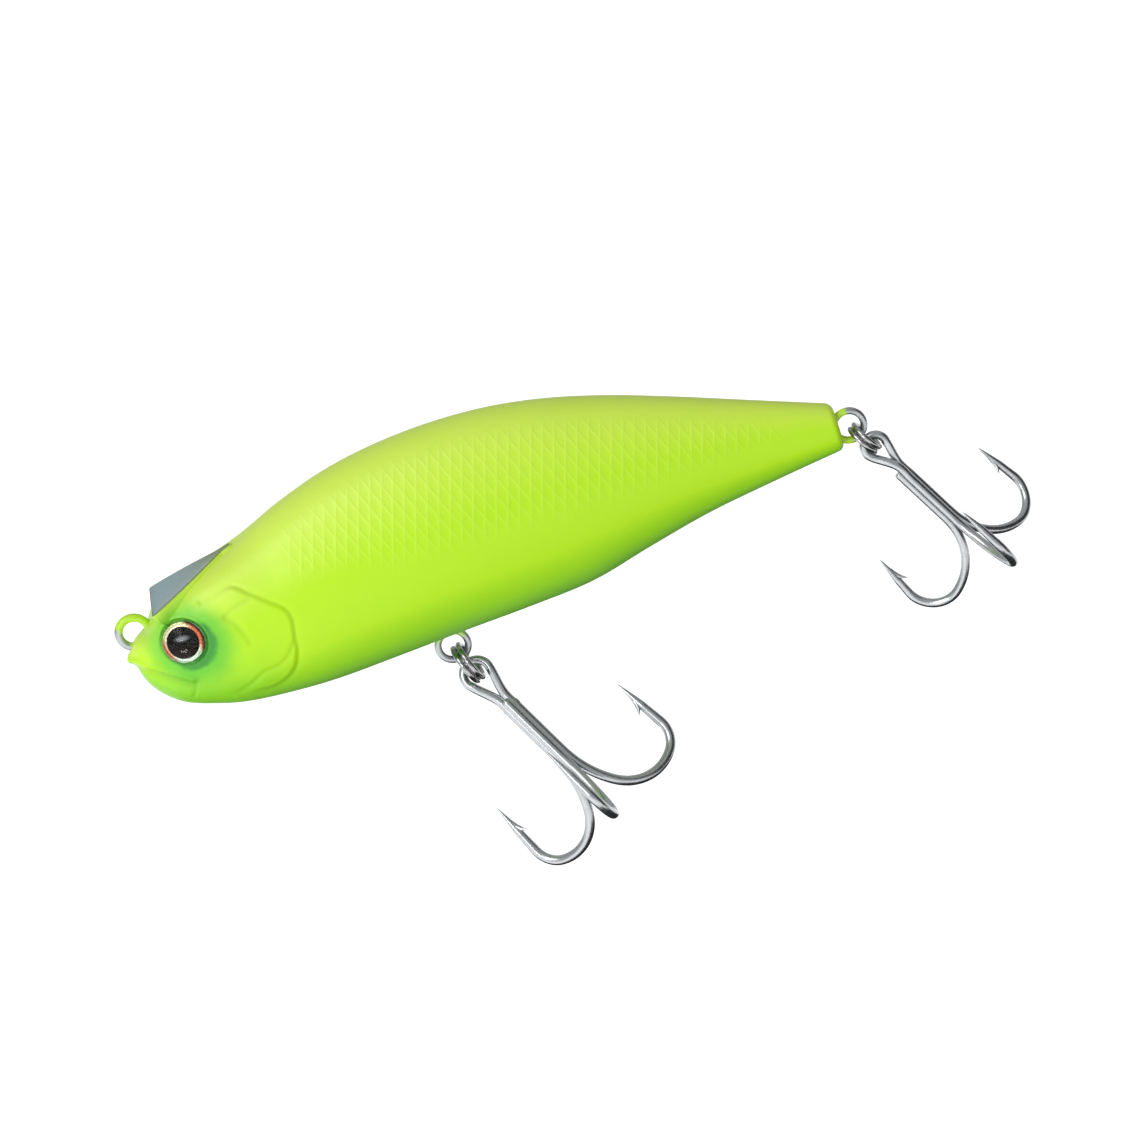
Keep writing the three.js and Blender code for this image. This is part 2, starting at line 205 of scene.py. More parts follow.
def distance_to_line(u, v, line):
    """The least distance from each point (u, v) to an open line."""
    best = np.full(u.shape, 1e9)
    for (ax, ay), (bx, by) in zip(line[:-1], line[1:]):
        dx, dy = bx - ax, by - ay
        t = np.clip(((u - ax) * dx + (v - ay) * dy) / (dx * dx + dy * dy), 0, 1)
        best = np.minimum(best, np.hypot(u - ax - t * dx, v - ay - t * dy))
    return best


def inside(u, v, outline):
    """Which points (u, v) are inside a closed outline."""
    odd = np.zeros(u.shape, bool)
    for (ax, ay), (bx, by) in zip(outline, np.roll(outline, -1, axis=0)):
        if ay != by:
            odd ^= ((ay > v) != (by > v)) & (u < ax + (v - ay) * (bx - ax) / (by - ay))
    return odd


def curve_2d(points, spacing=0.25):
    """A smooth line through points in a plane."""
    flat = np.column_stack([np.asarray(points, float), np.zeros(len(points))])
    return smooth_path(flat, spacing)[:, :2]


# ---- mesh building

def add_piece(name, points, faces, body, material, slot, replaces=(),
              corner_normals=None, values=None, frame=None):
    """A smooth mesh in the row frame that rides on a body and stands for some CAD nodes.

    values holds named numbers for each vertex. frame is the object's own placement, where points are
    already in metres in it.
    """
    mesh = bpy.data.meshes.new(name)
    coordinates = place(points) if frame is None else np.asarray(points) * MM
    mesh.from_pydata(coordinates.tolist(), [], [list(map(int, face)) for face in faces])
    mesh.polygons.foreach_set("use_smooth", [True] * len(mesh.polygons))
    if corner_normals is not None:
        mesh.normals_split_custom_set(corner_normals.tolist())
    for key, numbers in (values or {}).items():
        attribute = mesh.attributes.new(key, "FLOAT", "POINT")
        attribute.data.foreach_set("value", np.asarray(numbers, np.float32))
    mesh.materials.append(material)
    piece = bpy.data.objects.new(name, mesh)
    bpy.context.scene.collection.objects.link(piece)
    if frame is not None:
        piece.matrix_world = frame
    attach(piece, body)
    if replaces:
        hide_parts(*replaces)
    return piece


def placement(x_axis, y_axis, z_axis, origin):
    """The matrix that puts an object at origin, turned to three axes."""
    return Matrix((*zip(x_axis, y_axis, z_axis, origin), (0, 0, 0, 1)))


def ring_faces(rings, count, closed=False):
    """Quads between rings of count points each. A closed set of rings joins its last ring to its first."""
    faces = []
    for i in range(rings if closed else rings - 1):
        a, b = i * count, ((i + 1) % rings) * count
        faces += [(a + j, a + (j + 1) % count, b + (j + 1) % count, b + j) for j in range(count)]
    return faces


def carried_frames(path):
    """Tangents of a path and two side directions that don't twist along it."""
    tangents = unit(np.gradient(path, axis=0))
    side = np.cross(tangents[0], (0, 1, 0))
    if np.linalg.norm(side) < 0.1:
        side = np.cross(tangents[0], (1, 0, 0))
    sides = []
    for tangent in tangents:
        side = unit(side - np.dot(side, tangent) * tangent)
        sides.append(side)
    sides = np.array(sides)
    return tangents, sides, np.cross(tangents, sides)


def capped(rings, start, end, flipped=False):
    """Points and faces of rings closed at both ends by fans to two points."""
    sides = len(rings[0])
    points = np.vstack([*rings, start, end])
    faces = ring_faces(len(rings), sides)
    tip, last, base = len(points) - 2, len(points) - 1, (len(rings) - 1) * sides
    faces += [(tip, (j + 1) % sides, j) for j in range(sides)]
    faces += [(last, base + j, base + (j + 1) % sides) for j in range(sides)]
    return points, [face[::-1] for face in faces] if flipped else faces


def tube(path, radii, sides=20, flat=1.0):
    """Points and faces of a closed tube. Its ends are slightly rounded, and flat squashes its section."""
    radii = np.broadcast_to(np.asarray(radii, float), len(path))
    tangents, across, up = carried_frames(path)
    angles = 2 * np.pi * np.arange(sides) / sides
    rings = []

    def ring(k, shift, scale):
        spokes = np.outer(np.cos(angles), across[k]) + flat * np.outer(np.sin(angles), up[k])
        rings.append(path[k] + tangents[k] * shift + spokes * radii[k] * scale)

    first, last = radii[0] * 0.24, radii[-1] * 0.24
    ring(0, 0, 0.55)
    ring(0, 0, 0.86)
    ring(0, first * 0.35, 0.96)
    ring(0, first, 1)
    for k in range(1, len(path) - 1):
        from_start = np.linalg.norm(path[k] - path[0])
        from_end = np.linalg.norm(path[k] - path[-1])
        if from_start > first * 1.5 and from_end > last * 1.5:
            ring(k, 0, 1)
    ring(-1, -last, 1)
    ring(-1, -last * 0.35, 0.96)
    ring(-1, 0, 0.86)
    ring(-1, 0, 0.55)
    return capped(rings, path[0], path[-1])


def joined(*solids):
    """Several (points, faces) as one."""
    points, faces, start = [], [], 0
    for solid_points, solid_faces in solids:
        points.append(solid_points)
        faces += [tuple(k + start for k in face) for face in solid_faces]
        start += len(solid_points)
    return np.vstack(points), faces


def turned(outline, segments=96):
    """A turned solid about local Z from (radius, height): a closed outline, or one from axis to axis."""
    angles = 2 * np.pi * np.arange(segments) / segments
    circle = np.column_stack([np.cos(angles), np.sin(angles), np.ones(segments)])
    rings = [circle * (r, r, h) for r, h in outline]
    closed = outline[0] == outline[-1]
    if closed:
        rings = rings[:-1]
    return np.vstack(rings), ring_faces(len(rings), segments, closed)


# ---- materials

# The height in metres of the finest relief, in paint and drawn metal.
PAINT_RELIEF = 0.00004


def linear(red, green, blue):
    """An sRGB colour from 0 to 255 as a linear RGBA."""
    def channel(value):
        value /= 255
        return value / 12.92 if value <= 0.04045 else ((value + 0.055) / 1.055) ** 2.4

    return channel(red), channel(green), channel(blue), 1.0


class Material:
    """A Principled material with short calls for the nodes that feed it."""

    def __init__(self, name, **sockets):
        self.material = bpy.data.materials.new(name)
        self.material.use_nodes = True
        self.tree = self.material.node_tree
        self.shader = self.tree.nodes["Principled BSDF"]
        for key, value in sockets.items():
            self.shader.inputs[key.replace("_", " ").title().replace("Ior", "IOR")].default_value = value

    def node(self, kind, inputs, output=0, **settings):
        made = self.tree.nodes.new(kind)
        for key, value in settings.items():
            setattr(made, key, value)
        for key, value in inputs.items():
            self.feed(made.inputs[key], value)
        return made.outputs[output]

    def feed(self, socket, value):
        if isinstance(value, bpy.types.NodeSocket):
            self.tree.links.new(value, socket)
        else:
            socket.default_value = value

    def set(self, name, value):
        self.feed(self.shader.inputs[name], value)

    def position(self):
        """The point in the object's own frame, in millimetres."""
        coordinates = self.node("ShaderNodeTexCoord", {}, "Object")
        return self.node("ShaderNodeVectorMath", {0: coordinates, "Scale": 1000.0}, operation="SCALE")

    def axes(self, vector):
        separate = self.tree.nodes.new("ShaderNodeSeparateXYZ")
        self.feed(separate.inputs[0], vector)
        return separate.outputs[0], separate.outputs[1], separate.outputs[2]

    def maths(self, operation, a, b=0.0, c=0.0):
        return self.node("ShaderNodeMath", {0: a, 1: b, 2: c}, operation=operation)

    def times(self, a, b):
        return self.maths("MULTIPLY", a, b)

    def plus(self, a, b):
        return self.maths("ADD", a, b)

    def distance(self, vector, point):
        return self.node("ShaderNodeVectorMath", {0: vector, 1: point}, "Value", operation="DISTANCE")

    def dot(self, vector, direction):
        return self.node("ShaderNodeVectorMath", {0: vector, 1: direction}, "Value", operation="DOT_PRODUCT")

    def fade(self, value, low, high):
        """0 below low and 1 above high, with a smooth step between. High may be below low."""
        flipped = low > high
        ends = {1: min(low, high), 2: max(low, high), 3: 1.0 if flipped else 0.0, 4: 0.0 if flipped else 1.0}
        return self.node("ShaderNodeMapRange", {0: value, **ends}, interpolation_type="SMOOTHSTEP")

    def noise(self, vector, scale, detail=3.0, roughness=0.5):
        return self.node(
            "ShaderNodeTexNoise", {"Vector": vector, "Scale": scale, "Detail": detail, "Roughness": roughness}
        )

    def mix(self, factor, a, b, blend="MIX"):
        return self.node("ShaderNodeMix", {0: factor, 6: a, 7: b}, 2, data_type="RGBA", blend_type=blend)

    def ramp(self, value, stops):
        made = self.tree.nodes.new("ShaderNodeValToRGB")
        self.feed(made.inputs[0], value)
        elements = made.color_ramp.elements
        while len(elements) < len(stops):
            elements.new(0.5)
        for element, (position, colour) in zip(elements, stops):
            element.position = position
            element.color = colour
        return made.outputs[0]

    def attribute(self, name):
        return self.node("ShaderNodeAttribute", {}, "Fac", attribute_name=name)

    def bump(self, height, strength, distance):
        """Bump, with the height of its relief in metres as distance."""
        inputs = {"Strength": strength, "Distance": distance, "Height": height}
        self.set("Normal", self.node("ShaderNodeBump", inputs))

    def range(self, value, low, high):
        """The range 0 to 1 spread over low to high."""
        return self.node("ShaderNodeMapRange", {0: value, 3: low, 4: high})


def body_paint():
    """Chartreuse paint: greener to the belly, darker there as painted shade; a green halo round each eye."""
    m = Material("chartreuse_paint", coat_weight=0.07, coat_roughness=0.3, specular_ior_level=0.32)
    p = m.position()
    x, y, z = m.axes(p)
    # Down the girth: darker towards the belly as painted shade, paler along the back as a painted sheen.
    colour = m.ramp(m.attribute("girth"), [
        (0.0, linear(98, 176, 76)),
        (0.13, linear(146, 212, 42)),
        (0.29, linear(178, 229, 12)),
        (0.6, linear(180, 228, 10)),
        (1.0, linear(208, 234, 92)),
    ])
    # The lower front of the head is darkened: painted shade on the underside of the head.
    jaw = m.times(m.fade(x, 17.0, 5.0), m.fade(m.attribute("girth"), 0.56, 0.2))
    colour = m.mix(m.times(jaw, 0.75), colour, linear(124, 206, 40))
    clouds = m.noise(p, 0.16, 2.0)
    colour = m.mix(m.range(clouds, 0.0, 0.22), colour, linear(168, 226, 6))
    side = m.times(m.maths("ABSOLUTE", y), -math.sin(math.radians(VIEW_TILT)))
    height = m.plus(m.times(z, math.cos(math.radians(VIEW_TILT))), side)
    crests = []
    for along, up in SCALE_WAVES:
        phase = m.plus(m.times(x, 2 * math.pi * along), m.times(height, 2 * math.pi * up))
        wave = m.times(m.plus(m.maths("COSINE", phase), 1.0), 0.5)
        crests.append(m.maths("POWER", wave, 8.0))
    crest = m.maths("MAXIMUM", crests[0], m.times(crests[1], 0.8))
    crest = m.times(crest, m.attribute("scales"))
    # The scale crests are lightened: a painted highlight where the ridges catch the light.
    colour = m.mix(m.times(crest, 0.09), colour, linear(222, 246, 130))
    centre = place((FISH_EYE["x"], FISH_EYE["y"], FISH_EYE["z"])) / MM
    flank = m.node("ShaderNodeCombineXYZ", {0: x, 1: 0.0, 2: z})
    ring = m.distance(flank, (centre[0] + 0.6, 0.0, centre[2] - 0.5))
    ring = m.plus(ring, m.maths("MULTIPLY_ADD", m.noise(p, 0.5, 2.0), 1.1, -0.55))
    halo = m.fade(ring, 6.0, 2.9)
    colour = m.mix(m.times(halo, 0.82), colour, linear(84, 194, 52))
    # A dark ring at the socket's edge: painted shade where the skin drops into the eye socket.
    rim = m.fade(ring, 3.1, 2.5)
    colour = m.mix(m.times(rim, 0.8), colour, linear(46, 140, 52))
    # Painted shade darkens the creases of the gill cover, cheeks, mouth and jaw.
    colour = m.mix(m.times(m.attribute("crease_shade"), 0.8), colour, linear(70, 130, 32))
    m.set("Base Color", colour)
    m.set("Roughness", m.range(m.noise(p, 1.7, 4.0), 0.3, 0.42))
    grain = m.plus(m.noise(p, 3.0, 4.0), m.noise(p, 14.0, 2.0))
    m.bump(m.plus(grain, m.times(crest, 1.4)), 0.35, PAINT_RELIEF)
    return m.material


def steel(name, colour, roughness, grain, strength):
    """Bare wire with drawn grain and slightly uneven brightness."""
    m = Material(name, metallic=1.0)
    p = m.position()
    patches = m.noise(p, 0.8, 4.0)
    fine = m.noise(p, grain, 3.0)
    dull = tuple(0.72 * c for c in colour[:3]) + (1.0,)
    m.set("Base Color", m.mix(m.range(patches, 0.0, 0.7), colour, dull))
    m.set("Roughness", m.range(fine, roughness * 0.7, roughness * 1.35))
    m.bump(m.plus(fine, patches), strength, PAINT_RELIEF)
    return m.material


def painted_wire(name, bare, bare_from, bare_to):
    """Wire with chartreuse paint that gives way to metal. bare is the direction in which the metal shows."""
    m = Material(name)
    p = m.position()
    ragged = m.maths("MULTIPLY_ADD", m.noise(p, 1.6, 5.0, 0.65), 1.2, -0.6)
    metal = m.fade(m.plus(m.dot(p, bare), ragged), bare_from, bare_to)
    m.set("Base Color", m.mix(metal, linear(176, 220, 44), linear(176, 180, 182)))
    m.set("Metallic", metal)
    m.set("Roughness", m.range(m.noise(p, 4.0, 3.0), 0.24, 0.42))
    m.bump(m.plus(m.noise(p, 3.0, 4.0), m.times(metal, -0.4)), 0.4, 0.00006)
    return m.material


def lip_metal():
    """Thinly lacquered sheet metal, bluish at the front and greener to the rear; painted shade and highlight
    on its rim.
    """
    m = Material("lacquered_lip", coat_weight=0.4, coat_roughness=0.08)
    p = m.position()
    x, _, _ = m.axes(p)
    tone = m.ramp(m.fade(x, 3.0, 13.0), [
        (0.0, linear(160, 196, 206)),
        (0.45, linear(160, 190, 186)),
        (1.0, linear(150, 172, 104)),
    ])
    tone = m.mix(m.range(m.noise(p, 0.5, 3.0), 0.0, 0.35), tone, linear(128, 150, 140))
    # The rim: olive on its top edge as painted shade, pale lime on its sides as a painted highlight.
    rim = m.attribute("rim")
    painted = m.mix(m.attribute("side"), linear(98, 112, 46), linear(196, 222, 120))
    m.set("Base Color", m.mix(rim, tone, painted))
    m.set("Metallic", m.maths("MULTIPLY_ADD", rim, -0.75, 0.75))
    m.set("Roughness", m.range(m.noise(p, 2.5, 4.0), 0.2, 0.34))
    m.bump(m.noise(p, 2.0, 2.0), 0.06, PAINT_RELIEF)
    return m.material


def eye_foil():
    """Pale foil with a mint lower edge, and copper arcs at its left and right as painted reflection."""
    m = Material("eye_foil", metallic=0.55, coat_weight=0.3)
    p = m.position()
    _, y, _ = m.axes(p)
    colour = m.mix(m.fade(y, -0.2, -1.9), linear(250, 240, 196), linear(214, 238, 216))
    # Copper arcs edged in dark red: a painted reflection of the foil's directional sheen, fixed left and
    # right.
    tipped = m.dot(p, (0.95, 0.3, 0.0))
    reach = m.maths("ABSOLUTE", m.plus(tipped, m.times(m.noise(p, 1.4, 3.0), 0.3)))
    colour = m.mix(m.fade(reach, 1.2, 1.85), colour, linear(224, 112, 60))
    outer = m.fade(m.distance(p, (0, 0, 0)), FISH_EYE["foil"] - 0.2, FISH_EYE["foil"] - 0.04)
    edge = m.times(outer, m.fade(tipped, 0.9, 1.7))
    colour = m.mix(m.times(edge, 0.9), colour, linear(104, 36, 26))
    m.set("Base Color", colour)
    m.set("Roughness", m.range(m.noise(p, 6.0, 3.0), 0.2, 0.36))
    m.bump(m.noise(p, 9.0, 2.0), 0.3, 0.00005)
    return m.material


def eye_pupil():
    """Black, with a painted reflection: a soft sheen above its middle, a trace of brown in its lower half."""
    m = Material("eye_pupil", specular_ior_level=0.0)
    p = m.position()
    x, y, _ = m.axes(p)
    # Painted reflection of the studio in the dome: brown in the lower half, a grey gleam above the middle.
    colour = m.mix(m.fade(y, 0.1, -1.4), linear(5, 4, 6), linear(34, 21, 13))
    squeezed = m.node("ShaderNodeCombineXYZ", {0: m.times(x, 0.42), 1: y, 2: 0.0})
    painted_gleam = m.fade(m.distance(squeezed, (0.0, 0.42, 0.0)), 0.44, 0.02)
    m.set("Base Color", m.mix(m.times(painted_gleam, 0.75), colour, linear(158, 160, 168)))
    m.set("Roughness", m.range(m.noise(p, 5.0, 3.0), 0.4, 0.6))
    m.bump(m.noise(p, 8.0, 2.0), 0.1, 0.00003)
    return m.material


def eye_dome():
    """Clear domed resin with very slight unevenness."""
    m = Material("eye_dome", transmission_weight=1.0, ior=1.22)
    p = m.position()
    m.set("Base Color", m.mix(m.range(m.noise(p, 0.6, 2.0), 0.0, 1.0), (1, 1, 1, 1), linear(246, 250, 244)))
    m.set("Roughness", m.range(m.noise(p, 3.0, 2.0), 0.04, 0.06))
    return m.material


def cast_metal():
    """Dull cast ballast metal with a pitted skin."""
    m = Material("cast_ballast", metallic=0.85)
    p = m.position()
    pits = m.node("ShaderNodeTexVoronoi", {"Vector": p, "Scale": 1.6})
    m.set("Base Color", m.mix(m.noise(p, 1.2, 4.0), linear(120, 123, 128), linear(86, 89, 94)))
    m.set("Roughness", m.range(m.noise(p, 2.4, 4.0), 0.45, 0.7))
    m.bump(m.plus(pits, m.noise(p, 4.0, 4.0)), 0.5, 0.0001)
    return m.material


# ---- body

def girth_points(x):
    """The cross-section at x as four equal counts of points, from the right side over the top and round."""
    over = max(0.0, x - (BODY_LENGTH - EDGE_ROUND)) / EDGE_ROUND
    shrink = EDGE_ROUND * (1 - math.sqrt(max(0.0, 1 - over * over)))
    half = profile(HALF, x) - shrink
    middle = profile(MIDDLE, x)
    up = profile(BACK, x) - shrink - middle
    down = middle - profile(BELLY_LINE, x) - shrink
    square = 2.15 + 1.6 * smoothstep(18 - x, 0, 10) * smoothstep(x, 1, 4)

    def quarter(power, height):
        angles = np.linspace(0, np.pi / 2, 241)
        y = half * np.cos(angles).clip(0) ** (2 / power)
        z = height * np.sin(angles).clip(0) ** (2 / power)
        y[-1] = 0
        line = np.column_stack([np.full(len(y), x), y, middle + z])
        along = np.concatenate([[0], np.cumsum(np.linalg.norm(np.diff(line, axis=0), axis=1))])
        wanted = np.linspace(0, along[-1], QUARTER + 1)
        return np.stack([np.interp(wanted, along, line[:, k]) for k in range(3)], axis=1)

    mirror = np.array((1, -1, 1))
    upper, lower = quarter(square, up), quarter(2.2, -down)
    return np.vstack([
        upper[:-1],
        (upper * mirror)[:0:-1],
        (lower * mirror)[:-1],
        lower[:0:-1],
    ])


def body_rings():
    """Rings of the smooth body, with a small rounded nose and a closed tail."""
    head = np.linspace(0, HEAD_END, HEAD_RINGS + 1)
    flank = np.linspace(HEAD_END, BODY_LENGTH - EDGE_ROUND, FLANK_RINGS + 1)[1:]
    rounding = BODY_LENGTH - EDGE_ROUND + EDGE_ROUND * np.sin(np.linspace(0, np.pi / 2, 9)[1:])
    rings = [girth_points(x) for x in np.concatenate([head, flank, rounding])]
    nose = rings[0]
    nose_centre = nose.mean(axis=0)
    cap = []
    for angle in np.linspace(np.pi / 2, 0, 7)[:-1]:
        ring = nose_centre + (nose - nose_centre) * max(0.02, math.cos(angle))
        ring[:, 0] -= 0.28 * math.sin(angle)
        cap.append(ring)
    tail = rings[-1]
    tail_centre = tail.mean(axis=0)
    end = [tail_centre + (tail - tail_centre) * s for s in (0.85, 0.6, 0.3, 0.02)]
    return np.array([*cap, *rings, *end])


def grid_normals(rings):
    """Outward normals of a closed skin of rings."""
    around = np.roll(rings, -1, axis=1) - np.roll(rings, 1, axis=1)
    along = np.gradient(rings, axis=0)
    normals = np.cross(around, along)
    length = np.linalg.norm(normals, axis=-1, keepdims=True)
    normals = normals / np.maximum(length, 1e-12)
    normals[0] = (-1, 0, 0)
    normals[-1] = (1, 0, 0)
    return normals


def eye_axes():
    """The left eye's outward axis, and the directions to its right and up as seen from outside."""
    lean, turn = math.radians(FISH_EYE["lean"]), math.radians(FISH_EYE["turn"])
    outward = np.array((math.cos(lean) * math.sin(turn), -math.cos(lean) * math.cos(turn), math.sin(lean)))
    up = unit(np.array((0, 0, 1)) - outward[2] * outward)
    return outward, np.cross(up, outward), up


# Waves per millimetre along the body and up the flank of the two sets of scale ridges.
SCALE_PITCH = 1.22
SCALE_WAVES = [
    (math.cos(math.radians(slant)) / SCALE_PITCH, math.sin(math.radians(slant)) / SCALE_PITCH)
    for slant in (-VIEW_ROLL, 41 - VIEW_ROLL)
]
GILL_EDGE = [(11.0, 3.0), (12.9, 3.45), (14.5, 2.2), (16.2, 0.75), (17.6, -0.5), (17.9, -1.5), (17.6, -3.5),
             (17.4, -4.9), (16.7, -6.4), (15.5, -7.3), (13.9, -7.75), (12.2, -7.7), (8.0, -7.6)]
GILL_FOLD = [(17.4, -4.0), (16.5, -5.1), (15.1, -5.85), (13.2, -6.1), (11.9, -6.75), (10.1, -7.3),
             (8.4, -7.3)]
CHEEK_UPPER = [(11.3, 0.8), (12.6, 1.35), (14.4, 1.8)]
CHEEK_LOWER = [(11.4, 0.6), (12.4, -0.8), (13.0, -2.6)]
MOUTH = [(-0.2, -0.5), (0.7, -0.95), (1.5, -1.5), (3.2, -2.65), (4.8, -3.75), (6.0, -4.5)]
JAW = [(6.1, -4.5), (5.9, -5.4), (5.3, -6.3)]


def relief(rings):
    """How far each point of the skin is raised, and from 0 to 1 the painted shade of its creases and its
    scales.
    """
    x, y, z = rings[..., 0], rings[..., 1], rings[..., 2]
    tilt = math.radians(VIEW_TILT)
    v = z * math.cos(tilt) - np.abs(y) * math.sin(tilt)
    raised = np.zeros(x.shape)
    crease_shade = np.zeros(x.shape)

    def groove(distance, width):
        return np.exp(-((distance / width) ** 2))

    # Scales: two crossed sets of slanting ridges on the upper flank. Their crests get a painted highlight.
    placed = place(rings) / MM
    height = placed[..., 2] * math.cos(tilt) - np.abs(placed[..., 1]) * math.sin(tilt)
    crests = [(1 + np.cos(2 * np.pi * (placed[..., 0] * a + height * b))) ** 2 / 4 for a, b in SCALE_WAVES]
    lower_limit = 2.0 * (1 - smoothstep(x, 20, 34)) + 0.6 * smoothstep(x, 58, 72)
    under_back = profile(BACK, x.clip(0, BODY_LENGTH)) * math.cos(tilt) - v
    patch = smoothstep(x, 18.6, 20.4) * (1 - smoothstep(x, 72, 76))
    patch *= smoothstep(under_back, 1.6, 3.8) * smoothstep(v - lower_limit, -1.2, 2.2)
    raised += patch * (0.013 * crests[0] + 0.008 * crests[1])

    # Gill cover: a thin plate whose rear edge stands proud, with a fold inside it.
    head = x < 20
    hx, hv = x[head], v[head]
    edge = curve_2d(GILL_EDGE)
    outline = np.vstack([edge, (6, -4), (6, 0), (9, 3)])
    distance = distance_to_line(hx, hv, edge)
    signed = np.where(inside(hx, hv, outline), distance, -distance)
    keep = smoothstep(hx, 10.2, 13.5)
    raised[head] += 0.15 * keep * smoothstep(signed, -0.24, 0.3)
    raised[head] -= 0.05 * keep * groove(signed + 0.3, 0.3)
    crease_shade[head] += 0.16 * keep * groove(signed + 0.14, 0.18)
    fold = distance_to_line(hx, hv, curve_2d(GILL_FOLD))
    raised[head] -= 0.06 * groove(fold, 0.26) * smoothstep(hx, 8.4, 11)
    crease_shade[head] += 0.14 * groove(fold, 0.2) * smoothstep(hx, 8.4, 11)

    # Cheek creases, mouth and jaw line.
    for line, depth, width, dark in (
        (CHEEK_UPPER, 0.07, 0.3, 0.12),
        (CHEEK_LOWER, 0.09, 0.35, 0.15),
        (JAW, 0.06, 0.22, 0.15),
    ):
        crease = groove(distance_to_line(hx, hv, curve_2d(line)), width)
        raised[head] -= depth * crease
        crease_shade[head] += dark * crease
    mouth = curve_2d(MOUTH)
    raised[head] += 0.22 * groove(distance_to_line(hx, hv, mouth), 0.34)
    under = distance_to_line(hx, hv, mouth - (0.35, 0.65))
    raised[head] -= 0.12 * groove(under, 0.45)
    crease_shade[head] += 0.22 * groove(under, 0.4)

    # Small moulded dot above and behind the eye.
    raised[head] += 0.16 * groove(np.hypot(hx - 9.0, hv - 2.9), 0.24)
    return raised, np.clip(crease_shade, 0, 1), patch


def sink_sockets(rings):
    """Presses a flat-bottomed socket with a raised lip into the skin on each side."""
    socket = FISH_EYE["socket"]
    outward, _, _ = eye_axes()
    for mirror in (1, -1):
        axis = outward * (1, mirror, 1)
        centre = np.array((FISH_EYE["x"], FISH_EYE["y"] * mirror, FISH_EYE["z"]))
        offset = rings - centre
        height = offset @ axis
        radius = np.linalg.norm(offset - height[..., None] * axis, axis=-1)
        near = (height > -1.5) & (height < 3)
        press = near * (1 - smoothstep(radius, socket - 0.12, socket + 0.12))
        swell = near * 0.1 * np.exp(-(((radius - socket - 0.32) / 0.22) ** 2))
        rings = rings + (press * (-0.02 - height) + swell)[..., None] * axis
    return rings


def build_body(paint):
    smooth = body_rings()
    raised, crease_shade, patch = relief(smooth)
    rings = sink_sockets(smooth + grid_normals(smooth) * raised[..., None])
    normals = grid_normals(rings)
    x = rings[..., 0].clip(0, BODY_LENGTH)
    low, high = profile(BELLY_LINE, x), profile(BACK, x)
    girth = np.clip((rings[..., 2] - low) / (high - low), 0, 1)
    # Index 0 is the right side's middle, QUARTER the top and 3 * QUARTER the bottom.
    left = np.arange(QUARTER, 3 * QUARTER + 1)
    right = np.arange(3 * QUARTER, 5 * QUARTER + 1) % (4 * QUARTER)
    for side, columns, flat in (("left", left, (0, 1, 0)), ("right", right, (0, -1, 0))):
        grid = rings[:, columns]
        points = grid.reshape(-1, 3).copy()
        count, rows = len(columns), len(grid)
        seam = np.isin(np.arange(len(points)) % count, (0, count - 1))
        points[seam, 1] = 0
        a = (np.arange(rows - 1)[:, None] * count + np.arange(count - 1)).ravel()
        skin = np.column_stack([a, a + 1, a + count + 1, a + count])
        first = np.arange(rows - 1) * count
        plane = np.column_stack([first, first + count, first + 2 * count - 1, first + count - 1])
        ends = [np.arange(count)[::-1], (rows - 1) * count + np.arange(count)]
        faces = [*skin.tolist(), *plane.tolist(), *(end.tolist() for end in ends)]
        point_normals = normals[:, columns].reshape(-1, 3)
        corners = np.vstack([
            point_normals[skin.ravel()],
            np.tile(flat, (plane.size, 1)),
            np.tile((-1, 0, 0), (count, 1)),
            np.tile((1, 0, 0), (count, 1)),
        ])
        named = (("girth", girth), ("crease_shade", crease_shade), ("scales", patch))
        values = {key: numbers[:, columns].ravel() for key, numbers in named}
        add_piece(f"{side}_body_skin", points, faces, "lure_body", paint, "body_paint",
                  [f"{side}_body_shell"], corners, values)


# ---- lip

def lip_outline():
    """Half the lip's outline: distance from the front edge and half-width."""
    half, length = LIP["half"], LIP["length"]

    def quadratic(a, b, c, steps):
        t = np.linspace(0, 1, steps)[:, None]
        return (1 - t) ** 2 * np.array(a) + 2 * t * (1 - t) * np.array(b) + t * t * np.array(c)

    corner = quadratic((0, half - 0.4), (0, half), (0.35, half), 12)
    side = quadratic((0.35, half), (3.6, half * 0.825), (length, 0.55), 60)
    tip = quadratic((length, 0.55), (length + 1.15, 0.55), (length + 1.15, 0), 24)
    return np.vstack([corner, side[1:], tip[1:]])


def on_lip(points):
    """Points given as (distance from the front edge, across, above the plate's underside)."""
    slope = math.radians(LIP["slope"])
    s, w, h = points[:, 0], points[:, 1], points[:, 2]
    x = LIP["x"] + s * math.cos(slope) - h * math.sin(slope)
    z = LIP["z"] + LIP["lift"] + s * math.sin(slope) + h * math.cos(slope)
    return np.column_stack([x, w, z])


